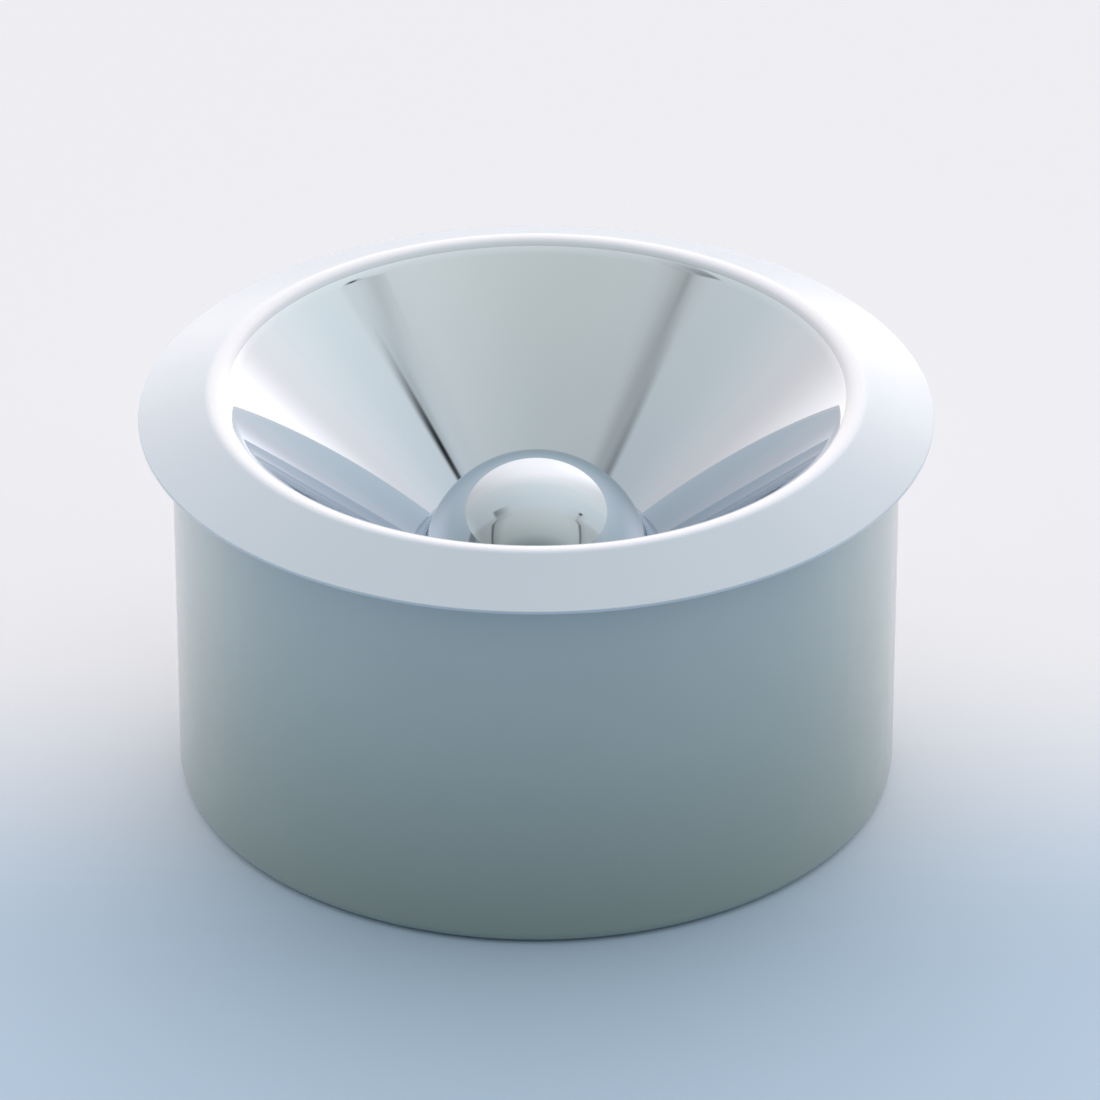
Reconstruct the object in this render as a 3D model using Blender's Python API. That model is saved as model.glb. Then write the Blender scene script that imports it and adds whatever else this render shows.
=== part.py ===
"""Ceiling air diffuser with an adjustable ball core, as separate pieces.

Frame: metres, +Z up through the axis towards the room, origin at the centre of the duct end's foot.
A steel can slips up into the duct. A painted face ring sits on its rim and a spun, mirror-finish
funnel sits in the ring. Three tie pillars pull the funnel, by the collar crimped to its throat,
down to a spider riveted across the inlet. The ball core is a nut on a fixed spindle: turning the
ball winds it down into the can, which opens the ring-shaped gap between ball and throat.
"""

import math

import bmesh
import bpy
from mathutils import Matrix, Vector

# ---- driving dimensions, metres -------------------------------------------------------------
BODY_RADIUS = 0.079          # the can's outside, for a nominal 160 mm duct collar
FLANGE_RADIUS = 0.0862       # outer edge of the face ring
FLANGE_UNDERSIDE = 0.0853    # height of the face that the gasket lies against
GASKET_BOTTOM = 0.0839       # height of the face that the ceiling meets
GASKET_OUTER = 0.0822
SEAT_OUTER = 0.0836           # where the flange's flat underside ends and its thin edge begins
CREST_RADIUS = 0.0701        # circle along the top of the rolled mouth
CREST_HEIGHT = 0.0927        # the part's full height
RING_ROLL = 0.0045           # roll radius of the ring's crest
BEVEL_ANGLE = math.radians(21.1)
FUNNEL_ROLL = 0.0056         # roll radius of the funnel's mouth
MOUTH_SLOPE = math.radians(42.2)
THROAT_SLOPE = math.radians(39.2)
RIM_INSET = 0.00065          # from the crest circle in to the funnel's rim
THROAT_RADIUS = 0.0244
BALL_RADIUS = 0.025
BALL_HEIGHT = 0.0485         # the ball's centre with the core closed
TRAVEL = 0.015               # how far the ball winds down
LEAD = 0.004                 # travel for one turn of the ball

CLEARANCE = 0.0003           # between pieces that touch
CAN_WALL = 0.0015
SHEET = 0.0012               # the funnel's and the ball shells' wall
FOOT_STEP = 0.0035           # height of the can's stepped bottom above its foot
INLET_RADIUS = 0.062
SKIRT_BOTTOM = 0.070         # lower edge of the face ring's skirt
HEM_BOTTOM = 0.0528
HEM_RADIUS = 0.0280
SKIRT_INNER = 0.0756
SKIRT_OUTER = 0.0772
COLLAR_BOTTOM = 0.047
COLLAR_RADIUS = 0.034
SPIDER_BOTTOM = 0.0053
SPIDER_TOP = 0.0078
PILLAR_CIRCLE = 0.038        # the tie pillars stand on this radius
TIE_HOLE_RADIUS = 0.0023
RIVET_HOLE_RADIUS = 0.0019
RIVET_CIRCLE = 0.068
ARM_ANGLES = tuple(math.radians(a) for a in (90, 210, 330))
SPINDLE_RADIUS = 0.004
SPINDLE_ROOT = 0.0031
SPINDLE_FLAT = 0.0034        # distance of the spindle's flat from its axis
INSERT_BOTTOM = 0.0278
INSERT_TOP = 0.0378
SHOULDER_TOP = INSERT_BOTTOM - TRAVEL - CLEARANCE    # the open stop, under the thread insert
CLIP_BOTTOM = 0.0430         # the closed stop, over the spring retainer
SPINDLE_TOP = 0.046
HUB_SCREW_TILT = math.radians(26)

FINE = 40                    # sides of the large round pieces
MEDIUM = 32
SMALL = 24
THREAD_SIDES = 16


# ---- helpers --------------------------------------------------------------------------------
def clear_scene():
    for item in list(bpy.data.objects):
        bpy.data.objects.remove(item)


def finish(name, colour, metallic, roughness):
    material = bpy.data.materials.new(name)
    material.use_nodes = True
    shader = material.node_tree.nodes["Principled BSDF"]
    shader.inputs["Base Color"].default_value = (*colour, 1.0)
    shader.inputs["Metallic"].default_value = metallic
    shader.inputs["Roughness"].default_value = roughness
    return material


def value_at(value, angle):
    """A radius or a height is a number, or a function of the angle round the axis."""
    return value(angle) if callable(value) else value


def add_revolved(bm, outline, sides, place):
    """Add one solid, turned from outline, to bm. The outline is a list of (radius, height).

    It is a closed loop, unless it starts and ends on the axis.
    """
    rings = []
    for radius, height in outline:
        on_axis = radius == 0
        ring = []
        for step in range(1 if on_axis else sides):
            angle = math.tau * step / sides
            r = value_at(radius, angle)
            point = Vector((r * math.cos(angle), r * math.sin(angle), value_at(height, angle)))
            ring.append(bm.verts.new(place @ point))
        rings.append(ring)
    pairs = list(zip(rings, rings[1:]))
    if outline[0][0] != 0:
        pairs.append((rings[-1], rings[0]))
    for lower, upper in pairs:
        for step in range(sides):
            following = (step + 1) % sides
            corners = (
                lower[step % len(lower)],
                lower[following % len(lower)],
                upper[following % len(upper)],
                upper[step % len(upper)],
            )
            bm.faces.new(list(dict.fromkeys(corners)))


def finished_mesh(name, bm, material):
    bmesh.ops.recalc_face_normals(bm, faces=bm.faces)
    mesh = bpy.data.meshes.new(name)
    bm.to_mesh(mesh)
    bm.free()
    mesh.shade_smooth()
    mesh.set_sharp_from_angle(angle=math.radians(35))
    if material:
        mesh.materials.append(material)
    return mesh


def add_object(name, mesh, parent=None):
    piece = bpy.data.objects.new(name, mesh)
    bpy.context.scene.collection.objects.link(piece)
    piece.parent = parent
    return piece


def sunk(parent):
    """A child of the core's empty is placed about the ball's centre, where that empty is."""
    return Matrix.Translation((0, 0, -parent.location.z)) if parent else Matrix()


def revolved(name, outline, material, sides=SMALL, parent=None):
    """One piece, turned from outline about the part's own axis."""
    bm = bmesh.new()
    add_revolved(bm, outline, sides, sunk(parent))
    return add_object(name, finished_mesh(name, bm, material), parent)


def copies(name, outline, material, sides, places, parent=None):
    """The same turned piece at each place, numbered from 1, on one shared mesh."""
    bm = bmesh.new()
    add_revolved(bm, outline, sides, Matrix())
    mesh = finished_mesh(name, bm, material)
    for number, place in enumerate(places, start=1):
        piece = add_object(f"{name}_{number}", mesh, parent)
        piece.matrix_basis = sunk(parent) @ place


def hidden_tool(piece):
    piece.hide_render = True
    piece.display_type = "WIRE"
    return piece


def rods(name, radius, low, high, places, sides=SMALL, parent=None):
    """Cylinders that only serve as one Boolean tool."""
    bm = bmesh.new()
    for place in places:
        add_revolved(bm, [(0, low), (radius, low), (radius, high), (0, high)], sides, sunk(parent) @ place)
    return hidden_tool(add_object(name, finished_mesh(name, bm, None), parent))


def combine(piece, tool, operation):
    modifier = piece.modifiers.new(tool.name, "BOOLEAN")
    modifier.operation = operation
    modifier.solver = "EXACT"
    modifier.object = tool


def around(radius):
    """One upright place above each spider arm, at this radius."""
    return [Matrix.Translation((radius * math.cos(a), radius * math.sin(a), 0)) for a in ARM_ANGLES]


def arc(centre, radius, start, end, steps):
    """Points on an arc, in the (radius, height) plane; angles from the height axis, outwards."""
    points = []
    for step in range(steps + 1):
        angle = start + (end - start) * step / steps
        points.append((centre[0] + radius * math.sin(angle), centre[1] + radius * math.cos(angle)))
    return points


def hexagon(across_flats):
    """Radius of a hexagon at an angle."""
    def radius(angle):
        from_flat = (angle + math.pi / 6) % (math.pi / 3) - math.pi / 6
        return across_flats / 2 / math.cos(from_flat)
    return radius


def flatted(radius, flat):
    """Radius of a round with one flat across +X."""
    def limited(angle):
        facing = math.cos(angle)
        return min(radius, flat / facing) if facing > 0 else radius
    return limited


# ---- outer pieces ---------------------------------------------------------------------------
def housing_can(material):
    """Pressed can: foot rim, stepped-up bottom round the inlet, plain wall open at the top."""
    top = FLANGE_UNDERSIDE - CLEARANCE
    inside = BODY_RADIUS - CAN_WALL
    corner = 0.003
    floor = FOOT_STEP + CAN_WALL
    outline = [(BODY_RADIUS, top)]
    outline += arc((BODY_RADIUS - corner, corner), corner, math.pi / 2, math.pi, 4)
    outline += [
        (0.0742, 0), (0.0738, 0.0005), (0.0734, FOOT_STEP), (INLET_RADIUS, FOOT_STEP),
        (INLET_RADIUS, floor), (0.0744, floor), (0.0751, 0.0042), (0.0754, 0.0019), (0.0759, CAN_WALL),
    ]
    outline += arc((BODY_RADIUS - corner, corner), corner - CAN_WALL, math.pi, math.pi / 2, 2)[1:]
    outline.append((inside, top))
    can = revolved("housing_can", outline, material, FINE)
    holes = rods("rivet_hole_tool", RIVET_HOLE_RADIUS, 0.001, 0.007, around(RIVET_CIRCLE))
    combine(can, holes, "DIFFERENCE")


def face_ring(material):
    """Cast ring: thin outer edge, bevel up to a rolled crest, ledge for the funnel, skirt."""
    roll_centre = (CREST_RADIUS, CREST_HEIGHT - RING_ROLL)
    lip = CREST_RADIUS - RIM_INSET + CLEARANCE
    lip_angle = math.asin((lip - CREST_RADIUS) / RING_ROLL)
    edge_bottom, ledge = 0.0861, 0.0685
    outline = [
        (SEAT_OUTER, FLANGE_UNDERSIDE), (FLANGE_RADIUS - 0.0004, edge_bottom),
        (FLANGE_RADIUS, edge_bottom + 0.0003), (FLANGE_RADIUS, edge_bottom + 0.0005),
        (FLANGE_RADIUS - 0.0002, edge_bottom + 0.0008),
    ]
    outline += arc(roll_centre, RING_ROLL, BEVEL_ANGLE, lip_angle, 4)
    outline += [
        (lip, 0.0911), (ledge, 0.09085), (ledge, 0.0888), (0.0712, 0.0888), (SKIRT_INNER, 0.0872),
        (SKIRT_INNER, SKIRT_BOTTOM), (SKIRT_OUTER, SKIRT_BOTTOM), (SKIRT_OUTER, FLANGE_UNDERSIDE),
    ]
    revolved("face_ring", outline, material, FINE)


def funnel_wall():
    """The funnel's upper surface from rim to throat, as (radius, height, slope)."""
    centre = (CREST_RADIUS, CREST_HEIGHT - FUNNEL_ROLL)
    rim_angle = math.asin(RIM_INSET / FUNNEL_ROLL)
    roll_steps, wall_steps = 3, 3
    surface = []
    for step in range(roll_steps + 1):
        slope = rim_angle + (MOUTH_SLOPE - rim_angle) * step / roll_steps
        radius = centre[0] - FUNNEL_ROLL * math.sin(slope)
        surface.append((radius, centre[1] + FUNNEL_ROLL * math.cos(slope), slope))
    mouth_radius, mouth_height, _ = surface[-1]
    steep, shallow = math.tan(MOUTH_SLOPE), math.tan(THROAT_SLOPE)
    length = mouth_radius - THROAT_RADIUS
    for step in range(1, wall_steps + 1):
        inward = length * step / wall_steps
        drop = steep * inward - (steep - shallow) * inward ** 2 / (2 * length)
        slope = math.atan(steep - (steep - shallow) * inward / length)
        surface.append((mouth_radius - inward, mouth_height - drop, slope))
    return surface


def funnel(material):
    """Spun cone with a slightly bowed wall; its throat is hemmed outwards under the collar's lip."""
    surface = funnel_wall()
    above = [(r, z) for r, z, _ in surface]
    below = [(r + SHEET * math.sin(s), z - SHEET * math.cos(s)) for r, z, s in surface[:-1]]
    edge = above[-1][1]
    fold = THROAT_RADIUS + 0.0015
    hem = [
        (THROAT_RADIUS + 0.00015, edge - 0.0006), (THROAT_RADIUS + 0.0005, edge - 0.0018),
        (THROAT_RADIUS + 0.0009, HEM_BOTTOM), (HEM_RADIUS, HEM_BOTTOM),
        (HEM_RADIUS, HEM_BOTTOM + SHEET), (fold, HEM_BOTTOM + SHEET), (fold, edge - 0.0004),
    ]
    revolved("funnel", above + hem + below[::-1], material, FINE)


def flange_gasket(material):
    inner, top = BODY_RADIUS + 0.0004, FLANGE_UNDERSIDE - CLEARANCE
    outline = [(inner, GASKET_BOTTOM), (GASKET_OUTER, GASKET_BOTTOM), (GASKET_OUTER, top), (inner, top)]
    revolved("flange_gasket", outline, material, FINE)


def acoustic_liner(material):
    """Foam sleeve between the spider's feet and the face ring's skirt."""
    bottom, top = SPIDER_TOP + 0.001, SKIRT_BOTTOM - 0.0005
    inner, outer = 0.072, SKIRT_OUTER
    outline = [(inner, bottom), (outer, bottom), (outer, top), (inner, top)]
    revolved("acoustic_liner", outline, material, FINE)


# ---- throat, ties and spider ----------------------------------------------------------------
def throat_collar(material):
    """Moulded ring under the funnel's throat, with a boss over each tie pillar."""
    lip, lip_bottom = 0.0271, HEM_BOTTOM + SHEET + CLEARANCE
    bore, seat_bottom, seat_radius = 0.0269, 0.0492, HEM_RADIUS + CLEARANCE
    outline = [
        (lip, lip_bottom), (lip, lip_bottom + 0.0008), (COLLAR_RADIUS, 0.0611),
        (COLLAR_RADIUS, COLLAR_BOTTOM), (bore, COLLAR_BOTTOM), (bore, seat_bottom),
        (seat_radius, seat_bottom), (seat_radius, lip_bottom),
    ]
    collar = revolved("throat_collar", outline, material, MEDIUM)
    bosses = rods("boss_tool", 0.0048, COLLAR_BOTTOM - 0.0004, 0.0595, around(PILLAR_CIRCLE))
    combine(collar, bosses, "UNION")
    holes = rods("stud_hole_tool", TIE_HOLE_RADIUS, 0.045, 0.0555, around(PILLAR_CIRCLE), 12)
    combine(collar, holes, "DIFFERENCE")


def throat_seal(material):
    """Lip seal under the funnel's hem."""
    low, high, root, lip = 0.0495, 0.0524, 0.0270, 0.0259
    outline = [
        (HEM_RADIUS, low), (HEM_RADIUS, high), (root, high),
        (lip, high - 0.0011), (lip, low + 0.0011), (root, low),
    ]
    revolved("throat_seal", outline, material, MEDIUM)


def tie_pillars(material):
    """Hexagonal pillar: threaded hole below, stud above."""
    foot, shoulder = SPIDER_TOP + CLEARANCE, COLLAR_BOTTOM - 0.0007
    stud_top = shoulder + 0.0075
    hexagonal = hexagon(0.008)
    outline = [
        (0, 0.019), (TIE_HOLE_RADIUS, 0.018), (TIE_HOLE_RADIUS, foot),
        (hexagonal, foot), (hexagonal, shoulder),
        (0.0020, shoulder), (0.0020, stud_top - 0.0005), (0.0015, stud_top), (0, stud_top),
    ]
    copies("tie_pillar", outline, material, 12, around(PILLAR_CIRCLE))


def tie_fasteners(material):
    """Hexagon screws through the spider into the pillars, each with a washer."""
    washer_low, washer_high = SPIDER_BOTTOM - 0.0011, SPIDER_BOTTOM - CLEARANCE
    bore, outside = TIE_HOLE_RADIUS, 0.0044
    washer = [(bore, washer_low), (outside, washer_low), (outside, washer_high), (bore, washer_high)]
    copies("tie_washer", washer, material, 16, around(PILLAR_CIRCLE))
    head_top = washer_low - CLEARANCE
    head_bottom = head_top - 0.0026
    head = hexagon(0.007)
    outline = [
        (0, head_bottom), (0.0031, head_bottom), (head, head_bottom + 0.0004), (head, head_top),
        (0.0020, head_top), (0.0020, 0.0165), (0, 0.0172),
    ]
    copies("tie_screw", outline, material, 12, around(PILLAR_CIRCLE))


def arm_outline(angle):
    """Plan of one spider arm: hub arc, straight sides and the round pad over the rivet."""
    hub, half_width, pad = 0.010, 0.0045, 0.0060
    side_angle = math.asin(half_width / hub)
    pad_angle = math.asin(half_width / pad)
    local = []
    for step in range(3):
        turn = -math.pi / 3 + (math.pi / 3 - side_angle) * step / 2
        local.append((hub * math.cos(turn), hub * math.sin(turn)))
    for step in range(9):
        turn = -(math.pi - pad_angle) + 2 * (math.pi - pad_angle) * step / 8
        local.append((RIVET_CIRCLE + pad * math.cos(turn), pad * math.sin(turn)))
    for step in range(2):
        turn = side_angle + (math.pi / 3 - side_angle) * step / 2
        local.append((hub * math.cos(turn), hub * math.sin(turn)))
    cos, sin = math.cos(angle), math.sin(angle)
    return [(u * cos - v * sin, u * sin + v * cos) for u, v in local]


def spider_ribs():
    """Ribs on the arms: under their inner half and on top of their outer half."""
    bm = bmesh.new()
    spans = (
        (0.0088, 0.0310, SPIDER_BOTTOM - 0.0022, SPIDER_BOTTOM + 0.0005),
        (0.0445, 0.0605, SPIDER_TOP - 0.0005, SPIDER_TOP + 0.0030),
    )
    for angle in ARM_ANGLES:
        for inner, outer, low, high in spans:
            size = Matrix.Diagonal((outer - inner, 0.0026, high - low, 1))
            middle = Matrix.Translation(((inner + outer) / 2, 0, (low + high) / 2))
            bmesh.ops.create_cube(bm, size=1, matrix=Matrix.Rotation(angle, 4, "Z") @ middle @ size)
    return hidden_tool(add_object("rib_tool", finished_mesh("rib_tool", bm, None)))


def spider(material):
    """Cast three-arm bridge with a pierced hub, riveted to the can's stepped bottom."""
    plan = []
    for angle in ARM_ANGLES:
        plan += arm_outline(angle)
    bm = bmesh.new()
    base = bm.faces.new([bm.verts.new((x, y, SPIDER_BOTTOM)) for x, y in plan])
    lifted = bmesh.ops.extrude_face_region(bm, geom=[base])["geom"]
    for corner in lifted:
        if isinstance(corner, bmesh.types.BMVert):
            corner.co.z = SPIDER_TOP
    bridge = add_object("spider", finished_mesh("spider", bm, material))
    combine(bridge, spider_ribs(), "UNION")
    through = 0.012
    bore = rods("hub_bore_tool", SPINDLE_RADIUS + CLEARANCE, 0, through, [Matrix()])
    combine(bridge, bore, "DIFFERENCE")
    tie_holes = rods("tie_hole_tool", TIE_HOLE_RADIUS, 0, through, around(PILLAR_CIRCLE), 12)
    combine(bridge, tie_holes, "DIFFERENCE")
    rivet_holes = rods("spider_rivet_tool", RIVET_HOLE_RADIUS, 0, through, around(RIVET_CIRCLE), 12)
    combine(bridge, rivet_holes, "DIFFERENCE")


def spider_rivets(material):
    head, tail = FOOT_STEP - CLEARANCE, SPIDER_TOP + CLEARANCE
    outline = [
        (0, head - 0.0015), (0.0022, head - 0.0013), (0.0031, head - 0.0005), (0.0031, head),
        (0.0016, head), (0.0016, tail), (0.0029, tail), (0.0026, tail + 0.0008), (0, tail + 0.0011),
    ]
    copies("spider_rivet", outline, material, 12, around(RIVET_CIRCLE))


# ---- spindle --------------------------------------------------------------------------------
def thread_radius(height):
    """Radius of the trapezoidal thread, with its flat, as a function of the angle."""
    def radius(angle):
        phase = (height / LEAD - angle / math.tau) % 1.0
        flank = min(max((abs(phase - 0.5) - 0.15) / 0.2, 0.0), 1.0)
        return SPINDLE_ROOT + (SPINDLE_RADIUS - SPINDLE_ROOT) * flank
    def with_flat(angle):
        return min(radius(angle), flatted(SPINDLE_RADIUS, SPINDLE_FLAT)(angle))
    return with_flat


def spindle(material):
    """Fixed spindle: shank through the spider, shoulder, thread with a flat, clip groove, end."""
    shank = 0.0039
    shoulder_low = SPIDER_TOP + CLEARANCE
    thread_low, thread_high = SHOULDER_TOP + 0.0010, CLIP_BOTTOM - 0.0008
    outline = [
        (0, 0.0003), (shank - 0.0005, 0.0003), (shank, 0.0008), (shank, shoulder_low),
        (0.0069, shoulder_low), (0.0069, SHOULDER_TOP - 0.0004), (0.0065, SHOULDER_TOP),
        (SPINDLE_ROOT, SHOULDER_TOP),
    ]
    rows = round((thread_high - thread_low) / LEAD * 4)
    for row in range(rows + 1):
        height = thread_low + (thread_high - thread_low) * row / rows
        outline.append((thread_radius(height), height))
    outline += [
        (0.0028, CLIP_BOTTOM - 0.0001), (0.0028, CLIP_BOTTOM + 0.0012), (0.0037, CLIP_BOTTOM + 0.0013),
        (0.0037, SPINDLE_TOP - 0.0006), (0.0031, SPINDLE_TOP), (0, SPINDLE_TOP),
    ]
    revolved("spindle", outline, material, THREAD_SIDES)


def spindle_fixings(material):
    """Plain washer and hexagon nut that hold the spindle under the spider's hub."""
    washer_low, washer_high = SPIDER_BOTTOM - 0.0013, SPIDER_BOTTOM - CLEARANCE
    bore, outside = SPINDLE_RADIUS + CLEARANCE, 0.0080
    washer = [(bore, washer_low), (outside, washer_low), (outside, washer_high), (bore, washer_high)]
    revolved("spindle_washer", washer, material)
    nut_top = washer_low - CLEARANCE
    nut = hexagon(0.013)
    outline = [(0.0042, 0.0006), (0.0062, 0.0006), (nut, 0.0010), (nut, nut_top), (0.0042, nut_top)]
    revolved("spindle_nut", outline, material)


def stop_clip(material):
    """Open clip in the spindle's groove."""
    low, high = CLIP_BOTTOM, CLIP_BOTTOM + 0.0009
    inner, outer = SPINDLE_ROOT, 0.0070
    clip = revolved("stop_clip", [(inner, low), (outer, low), (outer, high), (inner, high)], material)
    gap = Matrix.Translation((0.006, 0, low)) @ Matrix.Diagonal((0.012, 0.004, 0.004, 1))
    bm = bmesh.new()
    bmesh.ops.create_cube(bm, size=1, matrix=gap)
    tool = add_object("clip_gap_tool", finished_mesh("clip_gap_tool", bm, None))
    combine(clip, hidden_tool(tool), "DIFFERENCE")


# ---- moving core ----------------------------------------------------------------------------
def core_axis():
    """The core slides and turns about this empty, at the ball's centre."""
    empty = bpy.data.objects.new("core_axis", None)
    bpy.context.scene.collection.objects.link(empty)
    empty.location = (0, 0, BALL_HEIGHT)
    return empty


def sphere_point(radius, from_axis):
    """Point on the ball's lower half, this far from the axis."""
    return from_axis, BALL_HEIGHT - math.sqrt(radius ** 2 - from_axis ** 2)


def sphere_arc(radius, start, end, steps):
    """Arc about the ball's centre; angles from straight up."""
    return arc((0, BALL_HEIGHT), radius, start, end, steps)


def polar_angle(radius, height):
    """Angle from straight up at which a sphere about the ball's centre reaches a height."""
    return math.acos((height - BALL_HEIGHT) / radius)


def ball_cap(material, parent):
    """Upper shell, down to a seam below the ball's widest line."""
    seam = 0.0428
    outer = sphere_arc(BALL_RADIUS, 0, polar_angle(BALL_RADIUS, seam), 11)
    inner = sphere_arc(BALL_RADIUS - SHEET, polar_angle(BALL_RADIUS - SHEET, seam), 0, 5)
    outer[0] = (0, outer[0][1])
    inner[-1] = (0, inner[-1][1])
    revolved("ball_cap", outer + inner, material, MEDIUM, parent=parent)


def ball_base(material, parent, screw_places):
    """Lower shell: a lip inside the seam and a round hole for the spindle below."""
    seam, lip_top, opening = 0.0425, 0.0460, 0.0090
    lip_outer, lip_inner = 0.0227, 0.0216
    inside = BALL_RADIUS - SHEET
    outer_end = math.pi - math.asin(opening / BALL_RADIUS)
    inner_start, inner_end = math.pi - math.asin(opening / inside), math.pi - math.asin(lip_inner / inside)
    outer = sphere_arc(BALL_RADIUS, polar_angle(BALL_RADIUS, seam), outer_end, 6)
    inner = sphere_arc(inside, inner_start, inner_end, 4)
    outline = outer + inner + [(lip_inner, lip_top), (lip_outer, lip_top), (lip_outer, seam)]
    shell = revolved("ball_base", outline, material, MEDIUM, parent=parent)
    combine(shell, rods("shell_hole_tool", 0.0014, 0.021, 0.028, screw_places, 12, parent), "DIFFERENCE")


def ball_hub(material, parent, screw_places):
    """Moulded hub: nose through the lower shell, flange against it, cup for the spring above."""
    seat = BALL_RADIUS - SHEET - CLEARANCE
    nose = 0.0087
    flange = sphere_arc(seat, math.pi - math.asin(nose / seat), math.pi - math.asin(0.0140 / seat), 3)
    outline = [(0.0074, 0.0250), (nose, 0.0250)] + flange
    outline += [
        (0.0140, 0.0330), (0.0098, 0.0350), (0.0098, 0.0436), (0.0083, 0.0436),
        (0.0083, 0.0375), (0.0068, 0.0375), (0.0068, INSERT_BOTTOM), (0.0074, INSERT_BOTTOM - 0.0002),
    ]
    hub = revolved("ball_hub", outline, material, parent=parent)
    combine(hub, rods("pilot_hole_tool", 0.0013, 0.0180, 0.0250, screw_places, 12, parent), "DIFFERENCE")


def hub_screws(material, parent, screw_places):
    """Screws along radii of the ball, heads on the lower shell."""
    seat = BALL_RADIUS + CLEARANCE
    outline = [
        (0, 0.0185), (0.0010, 0.0192), (0.0010, seat), (0.0022, seat), (0.0022, seat + 0.0006),
        (0.0015, seat + 0.0011), (0, seat + 0.0012),
    ]
    copies("hub_screw", outline, material, 12, screw_places, parent)


def hub_screw_places():
    """Local +Z runs from the ball's centre down and out through the lower shell."""
    centre = Matrix.Translation((0, 0, BALL_HEIGHT))
    tilt = Matrix.Rotation(math.pi - HUB_SCREW_TILT, 4, "Y")
    return [centre @ Matrix.Rotation(angle, 4, "Z") @ tilt for angle in ARM_ANGLES]


def thread_insert(material, parent):
    bore, outside, groove = 0.0043, 0.0065, 0.0061
    outline = [
        (bore, INSERT_BOTTOM), (outside, INSERT_BOTTOM), (outside, 0.0315), (groove, 0.0318),
        (groove, 0.0338), (outside, 0.0341), (outside, INSERT_TOP), (bore, INSERT_TOP),
    ]
    revolved("thread_insert", outline, material, parent=parent)


def detent_washer(material, parent):
    """Washer whose bore has a flat, so that the spindle keeps it from turning."""
    low, high = INSERT_TOP + CLEARANCE, INSERT_TOP + 0.0015
    bore = flatted(0.0043, SPINDLE_FLAT + CLEARANCE)
    outline = [(bore, low), (0.0079, low), (0.0079, high), (bore, high)]
    revolved("detent_washer", outline, material, parent=parent)


def wave_spring(material, parent):
    """Washer bent into three waves."""
    middle, wave, half = 0.0405, 0.00065, 0.0002
    def face(offset):
        return lambda angle: middle + offset + wave * math.cos(3 * angle)
    outline = [(0.0052, face(-half)), (0.0078, face(-half)), (0.0078, face(half)), (0.0052, face(half))]
    revolved("wave_spring", outline, material, parent=parent)


def spring_retainer(material, parent):
    low, high = 0.0417, CLIP_BOTTOM - CLEARANCE
    outline = [(0.0050, low), (0.0080, low), (0.0080, high), (0.0050, high)]
    revolved("spring_retainer", outline, material, parent=parent)


# ---- assembly -------------------------------------------------------------------------------
def build():
    clear_scene()
    grey_paint = finish("grey_paint", (0.42, 0.47, 0.49), 0.0, 0.5)
    white_paint = finish("white_paint", (0.80, 0.82, 0.85), 0.0, 0.45)
    mirror = finish("mirror_aluminium", (0.84, 0.87, 0.90), 1.0, 0.03)
    chrome = finish("chrome", (0.86, 0.89, 0.92), 1.0, 0.02)
    cast = finish("cast_aluminium", (0.60, 0.61, 0.62), 1.0, 0.45)
    zinc = finish("zinc_plate", (0.66, 0.67, 0.68), 1.0, 0.35)
    steel = finish("spring_steel", (0.30, 0.31, 0.33), 1.0, 0.35)
    brass = finish("brass", (0.75, 0.55, 0.25), 1.0, 0.3)
    black_plastic = finish("black_plastic", (0.03, 0.03, 0.035), 0.0, 0.5)
    rubber = finish("black_rubber", (0.02, 0.02, 0.02), 0.0, 0.8)
    foam = finish("grey_foam", (0.10, 0.10, 0.11), 0.0, 0.95)

    housing_can(grey_paint)
    face_ring(white_paint)
    funnel(mirror)
    flange_gasket(foam)
    acoustic_liner(foam)

    throat_collar(black_plastic)
    throat_seal(rubber)
    tie_pillars(zinc)
    tie_fasteners(zinc)
    spider(cast)
    spider_rivets(zinc)

    spindle(steel)
    spindle_fixings(zinc)
    stop_clip(steel)

    axis = core_axis()
    screw_places = hub_screw_places()
    ball_cap(chrome, axis)
    ball_base(chrome, axis, screw_places)
    ball_hub(black_plastic, axis, screw_places)
    hub_screws(zinc, axis, screw_places)
    thread_insert(brass, axis)
    detent_washer(steel, axis)
    wave_spring(steel, axis)
    spring_retainer(steel, axis)


build()
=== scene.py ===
"""Looks of the ceiling air diffuser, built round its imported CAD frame.

Every visible turned piece is made again here at full smoothness, in the place that its CAD node
has, and gets a node-based material. Lengths are in metres, +Z runs up out of the duct end.
"""

import math

import bmesh
import bpy
from mathutils import Matrix, Vector


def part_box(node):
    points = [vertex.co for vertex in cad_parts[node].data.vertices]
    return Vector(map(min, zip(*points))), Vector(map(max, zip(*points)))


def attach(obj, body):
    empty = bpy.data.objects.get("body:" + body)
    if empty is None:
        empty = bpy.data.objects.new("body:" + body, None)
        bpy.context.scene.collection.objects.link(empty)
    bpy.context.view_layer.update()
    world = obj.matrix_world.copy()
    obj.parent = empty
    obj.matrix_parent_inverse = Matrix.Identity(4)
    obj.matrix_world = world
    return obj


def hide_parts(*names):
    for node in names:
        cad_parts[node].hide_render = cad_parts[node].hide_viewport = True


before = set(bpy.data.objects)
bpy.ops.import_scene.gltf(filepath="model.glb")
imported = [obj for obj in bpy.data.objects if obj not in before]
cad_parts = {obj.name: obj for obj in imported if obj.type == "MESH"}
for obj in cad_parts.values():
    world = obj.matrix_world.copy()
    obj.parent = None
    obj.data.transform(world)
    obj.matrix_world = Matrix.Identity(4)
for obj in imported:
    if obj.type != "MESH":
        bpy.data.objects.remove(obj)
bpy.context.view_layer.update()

MM = 0.001
ARMS = (1, 2, 3)                 # the numbers that end the names of repeated nodes
SMOOTH = 256                     # sides of the large round pieces
ROUND = 96                       # sides of the small ones
SHEET = 1.2 * MM                 # wall of the funnel and of the ball's shells


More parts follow.
